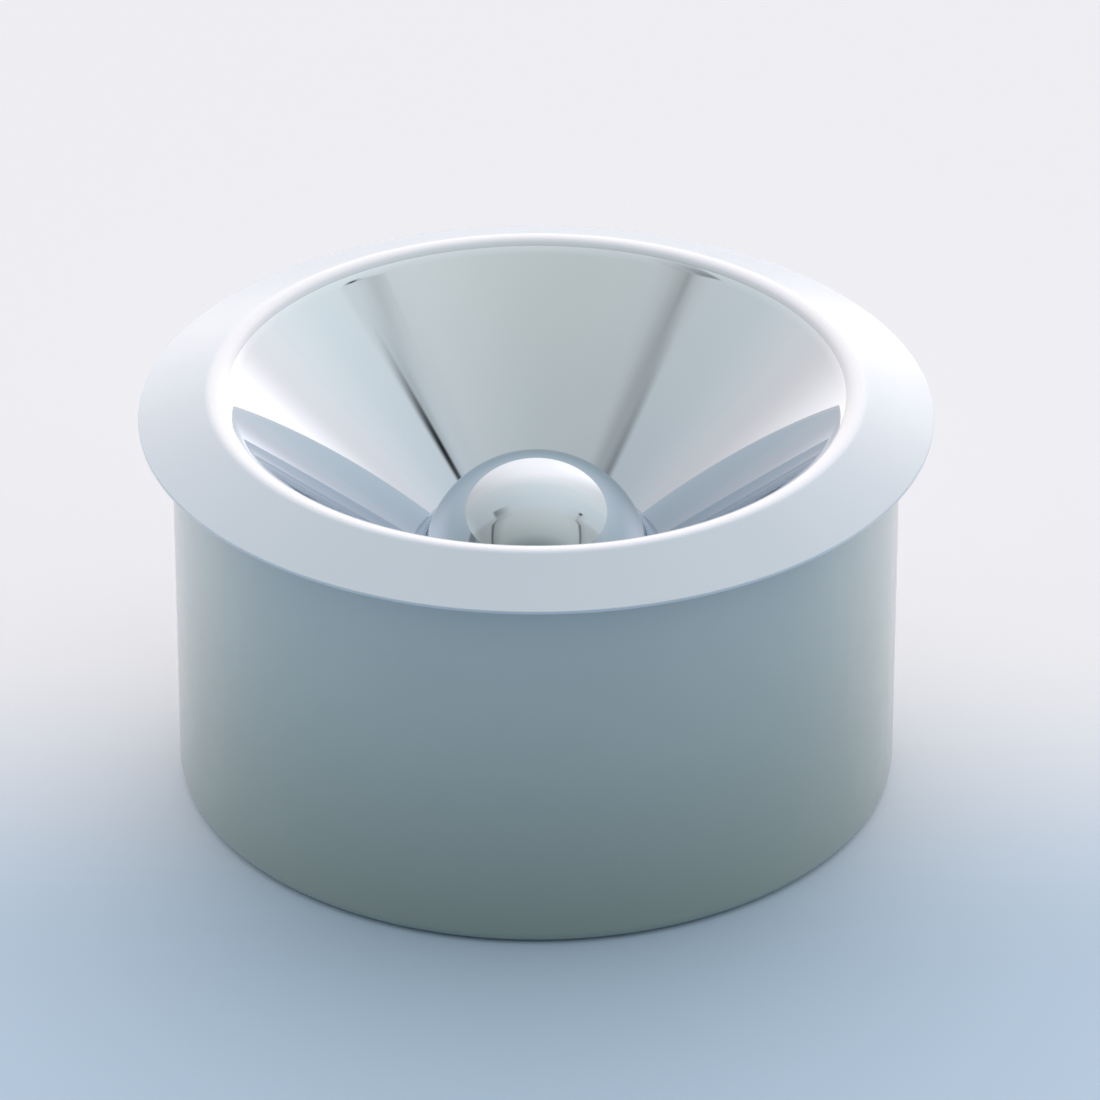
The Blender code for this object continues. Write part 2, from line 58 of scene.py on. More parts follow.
def reach(node):
    """A round node's outer radius, lowest height and highest height."""
    low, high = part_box(node)
    return (high.x - low.x) / 2, low.z, high.z


CAN_RADIUS, _, CAN_HIGH = reach("housing_can")
FLANGE_RADIUS, SKIRT_LOW, CREST_HEIGHT = reach("face_ring")
RIM_RADIUS, HEM_LOW, _ = reach("funnel")
BALL_RADIUS, _, BALL_TOP = reach("ball_cap")
BALL_CENTRE = BALL_TOP - BALL_RADIUS
THROAT_RADIUS = 24.2 * MM
CREST_RADIUS = RIM_RADIUS + 0.65 * MM
BEVEL_SLOPE = 21.1               # of the flange's bevelled face, in degrees
RING_ROLL = 4.5 * MM             # radius of the rolled mouth's outer half
MOUTH_ROLL = 5.6 * MM            # radius of its inner half
LIP_SLOPE = 35.0                 # where the painted roll ends over the mirror, in degrees
LIP_SHEET = 0.05 * MM            # how thick the paint is over the mirror
MOUTH_SLOPE = math.radians(42.2)     # of the cone at its mouth
THROAT_SLOPE = math.radians(39.07)   # of the cone at its throat
EASE = 15 * MM                   # radius that eases the mouth's roll into the cone
CAP_SEAM = 42.8 * MM             # height of the ball cap's edge
BASE_SEAM = 42.5 * MM            # height of the ball base's edge


# ---- outlines and meshes --------------------------------------------------------------------
def arc(centre, radius, start, end, steps):
    """Points in the (radius, height) plane; angles run from straight up, outwards, in degrees."""
    points = []
    for step in range(steps + 1):
        angle = math.radians(start + (end - start) * step / steps)
        points.append((centre[0] + radius * math.sin(angle), centre[1] + radius * math.cos(angle)))
    return points


def rounded(corners, steps=4):
    """The closed outline with each (radius, height, fillet) corner rounded by its fillet."""
    outline = []
    for index, corner in enumerate(corners):
        fillet = corner[2] if len(corner) > 2 else 0
        here = Vector(corner[:2])
        if not fillet:
            outline.append(tuple(here))
            continue
        back = Vector(corners[index - 1][:2]) - here
        ahead = Vector(corners[(index + 1) % len(corners)][:2]) - here
        half = back.angle(ahead) / 2
        reach_back = min(fillet / math.tan(half), 0.49 * back.length, 0.49 * ahead.length)
        start = here + back.normalized() * reach_back
        end = here + ahead.normalized() * reach_back
        for step in range(steps + 1):
            t = step / steps
            outline.append(tuple(start * (1 - t) ** 2 + here * (2 * t * (1 - t)) + end * t ** 2))
    return outline


def at(value, angle):
    """A radius or a height is a number, or a function of the angle round the axis."""
    return value(angle) if callable(value) else value


def add_turned(bm, outline, sides, place=Matrix()):
    """One closed solid turned from outline, a loop or a line that starts and ends on the axis."""
    rings = []
    for radius, height in outline:
        ring = []
        for step in range(1 if radius == 0 else sides):
            angle = math.tau * step / sides
            r = at(radius, angle)
            point = Vector((r * math.cos(angle), r * math.sin(angle), at(height, angle)))
            ring.append(bm.verts.new(place @ point))
        rings.append(ring)
    pairs = list(zip(rings, rings[1:]))
    if outline[0][0] != 0:
        pairs.append((rings[-1], rings[0]))
    for lower, upper in pairs:
        for step in range(sides):
            ahead = (step + 1) % sides
            corners = (
                lower[step % len(lower)], lower[ahead % len(lower)],
                upper[ahead % len(upper)], upper[step % len(upper)],
            )
            bm.faces.new(list(dict.fromkeys(corners)))


def piece_from(bm, name, body, nodes, material, slot):
    """A finished piece that rides on a body and stands for its CAD nodes."""
    bmesh.ops.recalc_face_normals(bm, faces=bm.faces)
    mesh = bpy.data.meshes.new(name)
    bm.to_mesh(mesh)
    bm.free()
    mesh.shade_smooth()
    piece = bpy.data.objects.new(name, mesh)
    bpy.context.scene.collection.objects.link(piece)
    weighted = piece.modifiers.new("weighted_normals", "WEIGHTED_NORMAL")
    weighted.weight = 100
    weighted.keep_sharp = True
    mesh.materials.append(material)
    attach(piece, body)
    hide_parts(*nodes)
    return piece


def turned(name, outline, body, nodes, finish, sides=SMOOTH, place=Matrix()):
    """A finished piece turned from one outline; finish is its material and its slot, which is not used."""
    bm = bmesh.new()
    add_turned(bm, outline, sides, place)
    return piece_from(bm, name, body, nodes, *finish)


def upright(node):
    """Placement on a node's upright axis."""
    low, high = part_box(node)
    return Matrix.Translation(((low.x + high.x) / 2, (low.y + high.y) / 2, 0))


def hexagon(width, limit=2.0):
    """Radius round a hexagon of this width across flats, cut off at limit times its half width."""
    def radius(angle):
        from_flat = angle % (math.pi / 3) - math.pi / 6
        return width / 2 * min(1 / math.cos(from_flat), limit)
    return radius


def hexagon_head(width, outer, seat):
    """Rows of a hexagonal head, from its chamfered outer face to its seat."""
    step = 0.25 * MM if seat > outer else -0.25 * MM
    face, round_cut, chamfer_cut = 0.46 * width, 1.0, 1.08
    return [
        (face, outer), (hexagon(width, round_cut), outer + 0.2 * step),
        (hexagon(width, chamfer_cut), outer + step), (hexagon(width), outer + 2 * step),
        (hexagon(width), seat),
    ]


# ---- materials ------------------------------------------------------------------------------
class Nodes:
    """Short ways to add shader nodes to one material."""

    def __init__(self, name):
        self.material = bpy.data.materials.new(name)
        self.material.use_nodes = True
        self.tree = self.material.node_tree
        self.shader = self.tree.nodes["Principled BSDF"]
        self.place = self.tree.nodes.new("ShaderNodeTexCoord").outputs["Object"]

    def add(self, kind, inputs=(), **settings):
        node = self.tree.nodes.new("ShaderNode" + kind)
        for key, value in settings.items():
            setattr(node, key, value)
        for key, value in dict(inputs).items():
            self.set(node.inputs[key], value)
        return node

    def set(self, socket, value):
        if isinstance(value, bpy.types.NodeSocket):
            self.tree.links.new(value, socket)
        else:
            socket.default_value = value

    def noise(self, scale, detail=2.0, place=None):
        node = self.add("TexNoise", {"Vector": place or self.place, "Scale": scale, "Detail": detail})
        return node.outputs["Fac"]

    def spread(self, value, low, high, start=0.3, end=0.7):
        """Map a noise value from start..end to low..high."""
        inputs = {"Value": value, "From Min": start, "From Max": end, "To Min": low, "To Max": high}
        return self.add("MapRange", inputs).outputs["Result"]

    def blend(self, factor, first, second):
        node = self.add("Mix", data_type="RGBA")
        self.set(node.inputs[0], factor)
        self.set(node.inputs[6], (*first, 1) if isinstance(first, tuple) else first)
        self.set(node.inputs[7], (*second, 1) if isinstance(second, tuple) else second)
        return node.outputs[2]

    def stretched(self, x, y, z):
        return self.add("VectorMath", {0: self.place, 1: (x, y, z)}, operation="MULTIPLY").outputs[0]

    def bump(self, height, distance, strength=1.0, normal=None):
        node = self.add("Bump", {"Height": height, "Distance": distance, "Strength": strength})
        if normal:
            self.set(node.inputs["Normal"], normal)
        return node.outputs["Normal"]

    def round_coordinates(self):
        """(distance from the axis, height, 0): rings round the axis are lines in these."""
        split = self.add("SeparateXYZ", {0: self.place})
        flat = self.add("CombineXYZ", {"X": split.outputs["X"], "Y": split.outputs["Y"]})
        length = self.add("VectorMath", {0: flat.outputs[0]}, operation="LENGTH")
        both = self.add("CombineXYZ", {"X": length.outputs["Value"], "Y": split.outputs["Z"]})
        return both.outputs[0]

    def finish(self, **inputs):
        for key, value in inputs.items():
            name = key.replace("_", " ")
            if isinstance(value, tuple):
                value = (*value, 1)
            self.set(self.shader.inputs[name], value)
        return self.material


def paint(name, colour, shade, roughness, foot=None, crest=None):
    """Powder paint: faint cloudiness, a fine orange peel and a clear, slightly uneven gloss.

    With foot, it fades to that colour towards the foot; this darker foot is painted shade. With crest, the
    rolled mouth is rubbed to a pearly satin of that colour.
    """
    n = Nodes(name)
    clouds = n.spread(n.noise(45, 3), 0, 1)
    speck = n.spread(n.noise(2600, 1), 0, 0.35, 0.35, 0.65)
    colours = n.blend(speck, n.blend(clouds, colour, shade), shade)
    # painted shade: towards the foot the paint darkens and turns greener
    if foot:
        height = n.add("SeparateXYZ", {0: n.place}).outputs["Z"]
        fade = n.add("MapRange", {"Value": height, "From Max": CAN_HIGH}, interpolation_type="SMOOTHSTEP")
        colours = n.blend(fade.outputs[0], foot, colours)
    skin = n.bump(n.noise(1500, 2), 0.02 * MM, 0.4, n.bump(n.noise(420, 1), 0.05 * MM, 0.2))
    uneven = n.spread(n.noise(160, 2), roughness - 0.03, roughness + 0.04)
    if crest:
        radius = n.add("SeparateXYZ", {0: n.round_coordinates()}).outputs["X"]
        inputs = {"Value": radius, "From Min": CREST_RADIUS + 2.0 * MM, "From Max": CREST_RADIUS - 0.3 * MM}
        rubbed = n.add("MapRange", inputs, interpolation_type="SMOOTHSTEP").outputs[0]
        colours = n.blend(rubbed, colours, crest)
        pearl = n.add("MapRange", {"Value": rubbed, "To Max": 0.8}).outputs[0]
        n.finish(Metallic=pearl)
        uneven = n.add("MapRange", {"Value": rubbed, "To Min": uneven, "To Max": 0.27}).outputs[0]
    return n.finish(
        Base_Color=colours, Normal=skin, Specular_IOR_Level=1.0 if crest else 0.5, Roughness=uneven,
        Coat_Weight=1.0, Coat_Roughness=0.22,
    )


def polished(name, colour, roughness, groove, edge, throat_colour=None):
    """Polished metal with the faint rings that spinning or turning leaves, and handling haze.

    Given a throat colour, the mirror's colour fades to it from the mouth down to the throat.
    """
    n = Nodes(name)
    across = n.round_coordinates()
    rings = n.noise(3200, 2, across)
    haze = n.spread(n.noise(38, 4), 0, 1, 0.45, 0.75)
    # darker towards the throat: the mirror's colour fades from the mouth down
    if throat_colour:
        radius = n.add("SeparateXYZ", {0: across}).outputs["X"]
        fade = n.add("MapRange", {"Value": radius, "From Min": THROAT_RADIUS, "From Max": RIM_RADIUS})
        colour = n.blend(fade.outputs[0], throat_colour, colour)
    tint = n.blend(haze, colour, n.blend(0.02, colour, (0.5, 0.5, 0.5)))
    gloss = n.add("MapRange", {"Value": haze, "To Min": roughness, "To Max": roughness + 0.02})
    return n.finish(
        Base_Color=tint, Metallic=1.0, Roughness=gloss.outputs[0], Specular_Tint=edge,
        Normal=n.bump(rings, 0.004 * MM, groove),
    )


def plated(name, colour, roughness):
    """Zinc plate and plain steel: mottled tone, fine scratches."""
    n = Nodes(name)
    mottle = n.spread(n.noise(700, 3), 0, 1)
    scratch = n.noise(900, 2, n.stretched(1, 1, 9))
    dark = tuple(c * 0.8 for c in colour)
    return n.finish(
        Base_Color=n.blend(mottle, colour, dark), Metallic=1.0,
        Roughness=n.spread(scratch, roughness - 0.06, roughness + 0.1),
        Normal=n.bump(scratch, 0.01 * MM, 0.35),
    )


def cast(name, colour):
    """Blasted die casting."""
    n = Nodes(name)
    grain = n.noise(2200, 3)
    dark = tuple(c * 0.86 for c in colour)
    return n.finish(
        Base_Color=n.blend(n.spread(n.noise(60, 3), 0, 1), colour, dark), Metallic=1.0,
        Roughness=n.spread(grain, 0.42, 0.58), Normal=n.bump(grain, 0.03 * MM, 0.6),
    )


def moulded(name, colour, light, roughness):
    """Moulded plastic with a spark-eroded texture."""
    n = Nodes(name)
    grain = n.noise(1800, 3)
    return n.finish(
        Base_Color=n.blend(n.spread(n.noise(90, 3), 0, 1), colour, light),
        Roughness=n.spread(grain, roughness - 0.05, roughness + 0.08), Normal=n.bump(grain, 0.02 * MM, 0.5),
    )


def soft_rubber(name, colour):
    """Matt rubber with a fine, slightly lighter grain."""
    n = Nodes(name)
    grain = n.noise(1400, 4)
    return n.finish(
        Base_Color=n.blend(n.spread(grain, 0, 1), colour, tuple(1.6 * c for c in colour)),
        Roughness=n.spread(grain, 0.68, 0.85), Normal=n.bump(grain, 0.04 * MM, 0.6),
    )


def foam(name):
    """Open-cell foam: sunken pores between lighter cell walls, darkened with painted shade."""
    n = Nodes(name)
    cells = n.add("TexVoronoi", {"Vector": n.place, "Scale": 750}).outputs["Distance"]
    pore_depth_and_shade = n.spread(cells, 0, 1, 0.15, 0.65)
    # painted shade: the colour darkens into the pores, which the same mask also sinks
    return n.finish(
        Base_Color=n.blend(pore_depth_and_shade, (0.03, 0.03, 0.033), (0.13, 0.13, 0.14)),
        Roughness=0.95, Normal=n.bump(pore_depth_and_shade, 0.25 * MM, 0.8),
    )


# Each finish is a material and the record's slot that it stands for.
GREY_PAINT = (
    # the foot colour is painted shade, darker towards the bottom of the can
    paint("can_paint", (0.55, 0.635, 0.65), (0.535, 0.615, 0.63), 0.40, foot=(0.345, 0.415, 0.385)),
    "grey_paint",
)
WHITE_PAINT = (
    paint("ring_paint", (0.66, 0.755, 0.87), (0.645, 0.74, 0.855), 0.32, crest=(0.55, 0.595, 0.645)),
    "white_paint",
)
MIRROR = (
    polished("spun_mirror", (0.69, 0.75, 0.80), 0.012, 0.05, (0.96, 0.97, 0.98), throat_colour=(0.53, 0.59, 0.655)),
    "mirror_aluminium",
)
CHROME = (polished("chrome_plate", (0.55, 0.61, 0.66), 0.008, 0.02, (0.72, 0.76, 0.78)), "chrome")
CAST = (cast("cast_aluminium_grain", (0.62, 0.63, 0.64)), "cast_aluminium")
ZINC = (plated("zinc_bright", (0.68, 0.69, 0.70), 0.3), "zinc_plate")
STEEL = (plated("dark_steel", (0.32, 0.33, 0.35), 0.34), "spring_steel")
BRASS = (plated("turned_brass", (0.78, 0.58, 0.28), 0.28), "brass")
PLASTIC = (moulded("black_nylon", (0.028, 0.028, 0.031), (0.042, 0.042, 0.046), 0.45), "black_plastic")
RUBBER = (soft_rubber("black_rubber_skin", (0.018, 0.018, 0.02)), "black_rubber")
FOAM = (foam("open_cell_foam"), "grey_foam")


# ---- outer pieces ---------------------------------------------------------------------------
def housing_can():
    """Spigot body with a rounded foot and a stepped rim round the inlet."""
    wall, corner, deburr = 1.5 * MM, 3 * MM, 0.3 * MM
    inlet, step_low, step_high = 62 * MM, 3.5 * MM, 5 * MM
    inside = CAN_RADIUS - wall
    outline = [(CAN_RADIUS - deburr, CAN_HIGH), (CAN_RADIUS, CAN_HIGH - deburr), (CAN_RADIUS, 60 * MM)]
    outline += arc((CAN_RADIUS - corner, corner), corner, 90, 180, 16)
    step = [
        (74.2 * MM, 0, 0.4 * MM), (73.4 * MM, step_low, 0.8 * MM), (inlet, step_low, 0.4 * MM),
        (inlet, step_high, 0.4 * MM), (74.5 * MM, step_high, 1.2 * MM), (75.5 * MM, wall, 0.5 * MM),
    ]
    outline += rounded([(76 * MM, 0)] + step + [(76.1 * MM, wall)])[1:-1]
    outline += arc((CAN_RADIUS - corner, corner), corner - wall, 176, 90, 8)
    outline += [(inside, CAN_HIGH - deburr), (inside + deburr, CAN_HIGH)]
    turned("can_shell", outline, "housing", ["housing_can"], GREY_PAINT)


def painted_lip(centre):
    """Outline of the painted roll from the crest inwards; its end tapers into the mirror."""
    start, end, steps = LIP_SLOPE - 13, LIP_SLOPE + 2, 15
    depth = 1.3 * LIP_SHEET
    over = arc(centre, MOUTH_ROLL, -1.5, -start, 18)
    for step in range(1, steps + 1):
        share = step / steps
        slope = math.radians(start + (end - start) * share)
        radius = MOUTH_ROLL - depth * share
        over.append((centre[0] - radius * math.sin(slope), centre[1] + radius * math.cos(slope)))
    under = arc(centre, MOUTH_ROLL - 1.6 * LIP_SHEET, -end, -6.0, 20)
    return over + under


def face_ring():
    """Cast ring; its painted roll runs over the crest and ends as a thin lip on the mirror."""
    centre = (CREST_RADIUS, CREST_HEIGHT - RING_ROLL)
    underside, rim_low, rim_high = 85.3 * MM, 86.2 * MM, 86.81 * MM
    skirt_inside, skirt_outside = 75.6 * MM, 77.2 * MM
    seat = 68.5 * MM
    bevel = math.radians(BEVEL_SLOPE)
    edge = rounded([
        (skirt_outside, underside), (83.6 * MM, underside, 0.3 * MM), (85.8 * MM, 86.1 * MM, 0.2 * MM),
        (FLANGE_RADIUS, rim_low, 0.25 * MM), (FLANGE_RADIUS, rim_high, 0.3 * MM),
        (centre[0] + RING_ROLL * math.sin(bevel), centre[1] + RING_ROLL * math.cos(bevel)),
    ])[1:-1]
    crest = arc(centre, RING_ROLL, BEVEL_SLOPE, 0, 16)
    lip = painted_lip((CREST_RADIUS, CREST_HEIGHT - MOUTH_ROLL))
    ledge = rounded([
        lip[-1], (lip[-1][0], 91.1 * MM, 0.1 * MM), (seat, 90.85 * MM, 0.3 * MM),
        (seat, 88.8 * MM, 0.3 * MM), (71.2 * MM, 88.8 * MM, 0.5 * MM), (skirt_inside, 87.2 * MM, 1.0 * MM),
        (skirt_inside, SKIRT_LOW, 0.4 * MM), (skirt_outside, SKIRT_LOW, 0.4 * MM),
        (skirt_outside, underside),
    ])[1:]
    turned("flange_ring", edge + crest + lip + ledge, "housing", ["face_ring"], WHITE_PAINT)


def funnel_surface():
    """The funnel's upper side from rim to throat: (radius, height, slope in radians)."""
    roll = MOUTH_ROLL - 1.1 * LIP_SHEET   # its outer part lies under the ring's painted lip
    centre = (CREST_RADIUS, CREST_HEIGHT - MOUTH_ROLL)
    roll_rows, ease_rows, cone_rows = 24, 16, 44
    rim_slope = math.asin((CREST_RADIUS - RIM_RADIUS) / roll)
    lip = math.radians(LIP_SLOPE)
    surface = []
    for step in range(roll_rows + 1):
        slope = rim_slope + (lip - rim_slope) * step / roll_rows
        surface.append((centre[0] - roll * math.sin(slope), centre[1] + roll * math.cos(slope), slope))
    lip_radius, lip_height, _ = surface[-1]
    for step in range(1, ease_rows + 1):
        slope = lip + (MOUTH_SLOPE - lip) * step / ease_rows
        inward, drop = EASE * (math.sin(slope) - math.sin(lip)), EASE * (math.cos(lip) - math.cos(slope))
        surface.append((lip_radius - inward, lip_height - drop, slope))
    start_radius, start_height, _ = surface[-1]
    length = start_radius - THROAT_RADIUS
    steep, shallow = math.tan(MOUTH_SLOPE), math.tan(THROAT_SLOPE)
    for step in range(1, cone_rows + 1):
        inward = length * step / cone_rows
        drop = steep * inward - (steep - shallow) * inward ** 2 / (2 * length)
        slope = math.atan(steep - (steep - shallow) * inward / length)
        surface.append((start_radius - inward, start_height - drop, slope))
    return surface


def funnel():
    """Spun cone, hemmed outwards under its throat."""
    surface = funnel_surface()
    above = [(r, z) for r, z, _ in surface]
    below = [(r + SHEET * math.sin(s), z - SHEET * math.cos(s)) for r, z, s in surface[:-2]]
    throat, fold, hem_radius = above[-1][1], THROAT_RADIUS + 1.5 * MM, 28 * MM
    hem = rounded([
        above[-1], (THROAT_RADIUS + 0.15 * MM, throat - 0.6 * MM, 0.3 * MM),
        (THROAT_RADIUS + 0.5 * MM, throat - 1.8 * MM, 0.4 * MM),
        (THROAT_RADIUS + 0.9 * MM, HEM_LOW, 0.3 * MM), (hem_radius, HEM_LOW, 0.4 * MM),
        (hem_radius, HEM_LOW + SHEET, 0.3 * MM), (fold, HEM_LOW + SHEET, 0.1 * MM),
        (fold, throat - 0.4 * MM, 0.1 * MM), below[-1],
    ])[1:-1]
    turned("funnel_cone", above + hem + below[::-1], "housing", ["funnel"], MIRROR)


def foam_sleeve(name, node, bore, edges):
    """A foam ring that fills its node from bore outwards; edges are its four fillets."""
    radius, low, high = reach(node)
    corners = ((bore, low), (radius, low), (radius, high), (bore, high))
    outline = rounded([(*corner, fillet * MM) for corner, fillet in zip(corners, edges)])
    turned(name, outline, "housing", [node], FOAM)


# ---- ball -----------------------------------------------------------------------------------
def shell_angle(radius, height):
    """Angle in degrees from straight up at which a sphere round the ball's centre has a height."""
    return math.degrees(math.acos((height - BALL_CENTRE) / radius))


def ball_cap():
    """Upper shell, closed at the top and chamfered at its edge."""
    inside = BALL_RADIUS - SHEET
    centre = (0, BALL_CENTRE)
    outer = arc(centre, BALL_RADIUS, 0, shell_angle(BALL_RADIUS, CAP_SEAM) - 0.8, 72)
    inner = arc(centre, inside, shell_angle(inside, CAP_SEAM), 0, 32)
    edge = [(outer[-1][0] - 0.15 * MM, CAP_SEAM)]
    outer[0] = (0, outer[0][1])
    inner[-1] = (0, inner[-1][1])
    turned("ball_upper", outer + edge + inner, "core", ["ball_cap"], CHROME)


def ball_base():
    """Lower shell with the spindle's hole and a lip that reaches up into the cap."""
    opening, lip_inside, lip_outside, lip_top = 9 * MM, 21.6 * MM, 22.7 * MM, 46 * MM
    inside = BALL_RADIUS - SHEET
    centre = (0, BALL_CENTRE)
    outer_end = 180 - math.degrees(math.asin(opening / BALL_RADIUS))
    inner_start = 180 - math.degrees(math.asin(opening / inside))
    inner_end = 180 - math.degrees(math.asin(lip_inside / inside))
    outer = arc(centre, BALL_RADIUS, shell_angle(BALL_RADIUS, BASE_SEAM) + 0.8, outer_end - 0.6, 48)
    outer.insert(0, (outer[0][0] - 0.15 * MM, BASE_SEAM))
    inner = arc(centre, inside, inner_start - 0.4, inner_end, 24)
    lip = rounded([
        inner[-1], (lip_inside, lip_top, 0.2 * MM), (lip_outside, lip_top, 0.2 * MM),
        (lip_outside, BASE_SEAM, 0.1 * MM), outer[0],
    ])[1:-1]
    turned("ball_lower", outer + inner + lip, "core", ["ball_base"], CHROME)


# ---- throat, ties and spindle ---------------------------------------------------------------
def throat_collar():
    """Moulded ring with a boss over each tie pillar."""
    _, low, _ = reach("throat_collar")
    lip, bore, hem, ring = 27.1 * MM, 26.9 * MM, 28.3 * MM, 34 * MM
    foot, hem_low, hem_high = low + 0.4 * MM, 49.2 * MM, 54.3 * MM
    stud, boss, stud_end, boss_top = 2.3 * MM, 4.8 * MM, 55.5 * MM, 59.5 * MM
    bm = bmesh.new()
    add_turned(bm, rounded([
        (lip, hem_high, 0.2 * MM), (lip, 55.1 * MM, 0.4 * MM), (ring, 61.1 * MM, 0.8 * MM),
        (ring, foot, 0.4 * MM), (bore, foot, 0.5 * MM), (bore, hem_low, 0.3 * MM),
        (hem, hem_low, 0.2 * MM), (hem, hem_high, 0.2 * MM),
    ]), SMOOTH)
    for arm in ARMS:
        add_turned(bm, rounded([
            (0, stud_end), (stud, stud_end), (stud, low), (boss, low, 0.3 * MM),
            (boss, boss_top, 0.5 * MM), (0, boss_top),
        ]), ROUND, upright(f"tie_pillar_{arm}"))
    piece_from(bm, "collar", "housing", ["throat_collar"], *PLASTIC)


def throat_seal():
    """Lip seal, bevelled towards its inner edge."""
    radius, low, high = reach("throat_seal")
    root, lip, slant = 27 * MM, 25.9 * MM, 1.1 * MM
    turned("lip_seal", rounded([
        (radius, low, 0.2 * MM), (radius, high, 0.2 * MM), (root, high, 0.2 * MM),
        (lip, high - slant, 0.15 * MM), (lip, low + slant, 0.15 * MM), (root, low, 0.2 * MM),
    ]), "housing", ["throat_seal"], RUBBER)


def washer(name, node, bore, edge, place=Matrix()):
    """Flat washer with its lower outer edge rounded."""
    radius, low, high = reach(node)
    turned(name, rounded([
        (bore, low, 0.1 * MM), (radius, low, edge), (radius, high, 0.1 * MM), (bore, high, 0.1 * MM),
    ]), "housing", [node], ZINC, ROUND, place)


def tie_pillar(node, place):
    """Hexagonal pillar, drilled from below, with a threaded stud on top."""
    _, low, high = reach(node)
    flats, bore, drilled, tip = 8 * MM, 2.3 * MM, 18 * MM, 19 * MM
    crest, root, half_pitch = 2 * MM, 1.75 * MM, 0.35 * MM
    shoulder = high - 7.5 * MM
    stud = [(root if row % 2 else crest, shoulder + row * half_pitch) for row in range(1, 20)]
    turned(node + "_detail", [
        (0, tip), (bore, drilled), (bore, low + 0.3 * MM), (bore + 0.3 * MM, low),
        *hexagon_head(flats, low, shoulder)[1:4], *hexagon_head(flats, shoulder, low)[3:0:-1],
        (crest, shoulder), *stud, (1.5 * MM, high), (0, high),
    ], "housing", [node], ZINC, ROUND, place)


def tie_screw(node, place):
    """Hexagon screw, head down."""
    _, low, high = reach(node)
    flats, shank, seat, point = 7 * MM, 2 * MM, low + 2.6 * MM, high - 0.7 * MM
    turned(node + "_detail", [
        (0, low), *hexagon_head(flats, low, seat), (shank, seat), (shank, point), (0, high),
    ], "housing", [node], ZINC, ROUND, place)


def spider_rivet(node, place):
    """Blind rivet: domed head below, closed tail above."""
    radius, low, high = reach(node)
    dome_height, shank = 1.5 * MM, 1.6 * MM
    head, tail = low + dome_height, high - 1.1 * MM
    turns = (0.3, 0.6, 0.9, 1.2, 1.45)
    dome = [(radius * math.sin(turn), head - dome_height * math.cos(turn)) for turn in turns]
    closed = [(2.9 * MM, tail), (2.8 * MM, tail + 0.5 * MM), (2.2 * MM, tail + 0.9 * MM), (0, high)]
    turned(node + "_detail", [
        (0, low), *dome, (radius, head), (shank, head), (shank, tail), *closed,
    ], "housing", [node], ZINC, ROUND, place)


def tie_fasteners():
    """One set of fasteners on each arm of the spider."""
    for arm in ARMS:
        tie_pillar(f"tie_pillar_{arm}", upright(f"tie_pillar_{arm}"))
        tie_screw(f"tie_screw_{arm}", upright(f"tie_screw_{arm}"))
        node = f"tie_washer_{arm}"
        washer(node + "_detail", node, 2.3 * MM, 0.2 * MM, upright(node))
        spider_rivet(f"spider_rivet_{arm}", upright(f"spider_rivet_{arm}"))


def spindle():
    """Shank, shoulder, trapezoidal thread with a flat, clip groove."""
    _, low, high = reach("spindle")
    crest, root, lead, flat = 4 * MM, 3.1 * MM, 4 * MM, 3.4 * MM
    flat_half_angle = 0.7
    shank, shoulder, shoulder_low, shoulder_high = 3.9 * MM, 6.9 * MM, 8.1 * MM, 12.5 * MM
    chamfer = 0.4 * MM
    groove, end, end_low = 2.8 * MM, 3.7 * MM, 44.3 * MM
    start, stop, rows = 13.5 * MM, 42.2 * MM, 230

    def thread(height):
        def radius(angle):
            phase = (height / lead - angle / math.tau) % 1.0
            flank = min(max((abs(phase - 0.5) - 0.15) / 0.2, 0.0), 1.0)
            across = abs(math.remainder(angle, math.tau))
            cut = flat / math.cos(across) if across < flat_half_angle else crest
            return min(root + (crest - root) * flank, cut)
        return radius

    outline = [(0, low), (shank - 0.5 * MM, low), (shank, low + 0.5 * MM), (shank, shoulder_low)]
    outline += [(shoulder - chamfer, shoulder_low), (shoulder, shoulder_low + chamfer)]
    outline += [(shoulder, shoulder_high - chamfer), (shoulder - chamfer, shoulder_high)]
    outline.append((root, shoulder_high))
    for row in range(rows + 1):
        height = start + (stop - start) * row / rows
        outline.append((thread(height), height))
    outline += [(groove, 42.9 * MM), (groove, 44.2 * MM), (end, end_low), (end, high - 0.6 * MM)]
    outline += [(end - 0.6 * MM, high), (0, high)]
    turned("threaded_spindle", outline, "housing", ["spindle"], STEEL, 64)


def spindle_nut():
    """Hexagon nut, chamfered on both faces and at its bore."""
    _, low, high = reach("spindle_nut")
    flats, bore = 13 * MM, 4.2 * MM
    outside = hexagon_head(flats, low, high)[:-1] + hexagon_head(flats, high, low)[2::-1]
    inside = rounded([(bore, high), (bore, low + 0.4 * MM), (bore + 0.4 * MM, low)])
    turned("hub_nut", inside + outside, "housing", ["spindle_nut"], ZINC, ROUND)


def thread_insert():
    """Brass insert with a retaining groove and a knurl."""
    radius, low, high = reach("thread_insert")
    bore, chamfer = 4.3 * MM, 0.3 * MM
    groove, groove_low, groove_high = 6.1 * MM, 31.5 * MM, 34.1 * MM
    ridges, ridge_depth = 24, 0.12 * MM

    def knurled(angle):
        return radius - ridge_depth * (0.5 - 0.5 * math.cos(ridges * angle))

    turned("brass_insert", [
        (bore, low + chamfer), (bore + chamfer, low), (radius - chamfer, low), (knurled, low + chamfer),
        (knurled, groove_low), (groove, groove_low + chamfer), (groove, groove_high - chamfer),
        (knurled, groove_high), (knurled, high - chamfer), (radius - chamfer, high),
        (bore + chamfer, high), (bore, high - chamfer),
    ], "core", ["thread_insert"], BRASS, 192)


